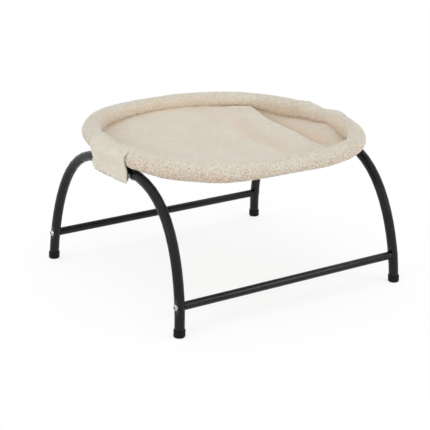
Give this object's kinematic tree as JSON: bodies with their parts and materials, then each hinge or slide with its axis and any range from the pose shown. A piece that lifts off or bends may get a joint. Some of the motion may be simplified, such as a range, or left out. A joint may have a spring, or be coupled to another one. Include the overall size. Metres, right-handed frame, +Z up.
{
  "type": "cat hammock bed",
  "caption": "Raised round fleece hammock on a padded hoop, laid over bent-tube arches joined by crossbars, with flaps that close round the tubes.",
  "frame": {"origin": "middle of the footprint, on the floor under the four foot caps", "axes": "+X along the crossbars to the right, +Y along the arches to the back, +Z up"},
  "size_m": [0.448, 0.4394, 0.2554],
  "materials": {
    "frame_steel": "semi-gloss black powder coat",
    "foot_cap": "satin moulded",
    "screw_steel": "bright zinc",
    "insert_nylon": "moulded",
    "hoop_steel": "drawn tube",
    "padding_foam": "open-cell foam",
    "fleece": "curly pile",
    "hook_tape": "woven with small hooks",
    "strap_webbing": "woven"
  },
  "bodies": {
    "frame_and_bed": {"arch_left": "frame_steel", "arch_right": "frame_steel", "crossbar_front": "frame_steel", "crossbar_back": "frame_steel", "foot_cap_front_left": "foot_cap", "foot_cap_front_right": "foot_cap", "foot_cap_back_left": "foot_cap", "foot_cap_back_right": "foot_cap", "bar_screw_front_left": "screw_steel", "bar_screw_front_right": "screw_steel", "bar_screw_back_left": "screw_steel", "bar_screw_back_right": "screw_steel", "bar_insert_front_left": "insert_nylon", "bar_insert_front_right": "insert_nylon", "bar_insert_back_left": "insert_nylon", "bar_insert_back_right": "insert_nylon", "hoop_half_front": "hoop_steel", "hoop_half_back": "hoop_steel", "rim_padding_front": "padding_foam", "rim_padding_back": "padding_foam", "fleece_rim_sleeve": "fleece", "fleece_panel": "fleece", "tube_strap_left": "strap_webbing", "tube_strap_right": "strap_webbing"},
    "left_flap": {"flap_left": "fleece", "hook_tape_left": "hook_tape"},
    "right_flap": {"flap_right": "fleece", "hook_tape_right": "hook_tape"},
    "left_strap_end": {"strap_end_left": "strap_webbing"},
    "right_strap_end": {"strap_end_right": "strap_webbing"}
  },
  "joints": [
    {"name": "left_flap_lift", "type": "hinge", "parent": "frame_and_bed", "child": "left_flap", "pos_m": [-0.21366, 0, 0.25335], "axis": [0, 1, 0], "range_deg": [0, 100]},
    {"name": "right_flap_lift", "type": "hinge", "parent": "frame_and_bed", "child": "right_flap", "pos_m": [0.21366, 0, 0.25335], "axis": [0, -1, 0], "range_deg": [0, 100]},
    {"name": "left_strap_peel", "type": "hinge", "parent": "frame_and_bed", "child": "left_strap_end", "pos_m": [-0.20848, 0, 0.20844], "axis": [0, -1, 0], "range_deg": [0, 90]},
    {"name": "right_strap_peel", "type": "hinge", "parent": "frame_and_bed", "child": "right_strap_end", "pos_m": [0.20848, 0, 0.20844], "axis": [0, 1, 0], "range_deg": [0, 90]}
  ],
  "couplings": [
    {"joint": "left_strap_peel", "follows": "left_flap_lift", "ratio": 0.9},
    {"joint": "right_strap_peel", "follows": "right_flap_lift", "ratio": 0.9}
  ]
}
